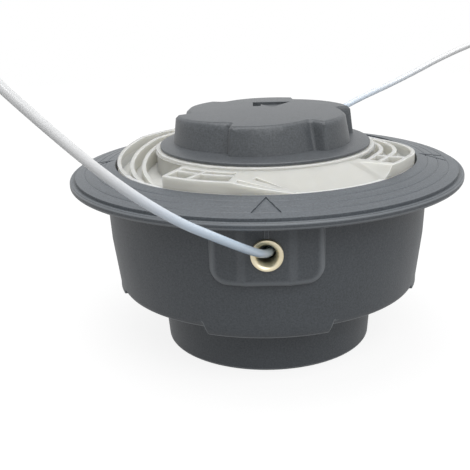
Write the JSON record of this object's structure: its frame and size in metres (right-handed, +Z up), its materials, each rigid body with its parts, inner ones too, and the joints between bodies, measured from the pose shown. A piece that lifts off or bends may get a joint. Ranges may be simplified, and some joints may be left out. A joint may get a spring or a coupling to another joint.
{
  "type": "bump feed trimmer head",
  "caption": "Line trimmer head on its neck: dark bowl and flange with brass line eyelets, a pale spool inside, and a lobed bump knob that is pressed against a spring to feed line.",
  "frame": {"origin": "centre of the neck's base ring, on the drive axis", "axes": "+Z up the drive axis towards the bump knob, front eyelet at -Y, rear eyelet at +Y"},
  "size_m": [0.1594, 0.201, 0.1032],
  "materials": {
    "housing_plastic": "fine-grained matte moulding",
    "knob_plastic": "fine-grained matte moulding",
    "spool_plastic": "smooth satin moulding",
    "sleeve_plastic": "smooth moulding",
    "brass": "turned and polished",
    "steel": "zinc plated",
    "line_nylon": "extruded translucent line"
  },
  "bodies": {
    "head": {"housing": "housing_plastic", "arbor_bush": "steel", "front_eyelet": "brass", "rear_eyelet": "brass", "spring_seat": "steel", "bump_spring": "steel", "retaining_washer": "steel", "retaining_screw": "steel", "front_line": "line_nylon", "rear_line": "line_nylon"},
    "slider": {"guide_sleeve": "sleeve_plastic"},
    "feed_spool": {"spool": "spool_plastic", "lower_line_pack": "line_nylon", "upper_line_pack": "line_nylon", "bump_knob": "knob_plastic"}
  },
  "joints": [
    {"name": "bump_press", "type": "slide", "parent": "head", "child": "slider", "axis": [0, 0, -1], "range_m": [0, 0.006], "stiffness_N_per_m": 2500, "springref_m": -0.004, "deforming": ["bump_spring"]},
    {"name": "spool_turn", "type": "hinge", "parent": "slider", "child": "feed_spool", "pos_m": [0, 0, 0.045], "axis": [0, 0, 1], "continuous": true}
  ]
}
